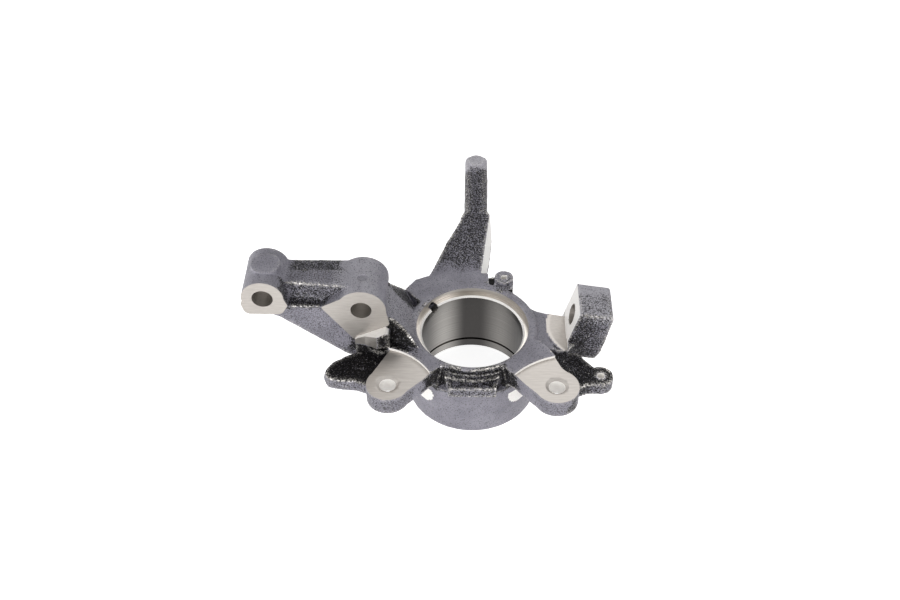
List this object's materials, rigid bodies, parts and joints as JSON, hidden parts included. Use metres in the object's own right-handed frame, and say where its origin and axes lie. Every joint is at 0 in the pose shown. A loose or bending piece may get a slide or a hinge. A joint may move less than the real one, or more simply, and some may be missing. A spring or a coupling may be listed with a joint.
{
  "type": "steering knuckle",
  "caption": "One-piece cast iron steering knuckle: bored hub barrel with caliper ears, strut lugs, ball joint block, steering arm and brake shield wings.",
  "frame": {"origin": "centre of the hub barrel's outboard end face, on the wheel bearing's axis", "axes": "+Z along the bearing axis towards the car's middle; -X up the car towards the strut lugs; +X towards the ball joint; -Y towards the caliper ears; +Y towards the tie rod eye"},
  "size_m": [0.2546, 0.2339, 0.1169],
  "materials": {
    "cast_iron": "as-cast with machined bores and faces"
  },
  "bodies": {
    "root": {"knuckle_casting": "cast_iron"}
  },
  "joints": []
}
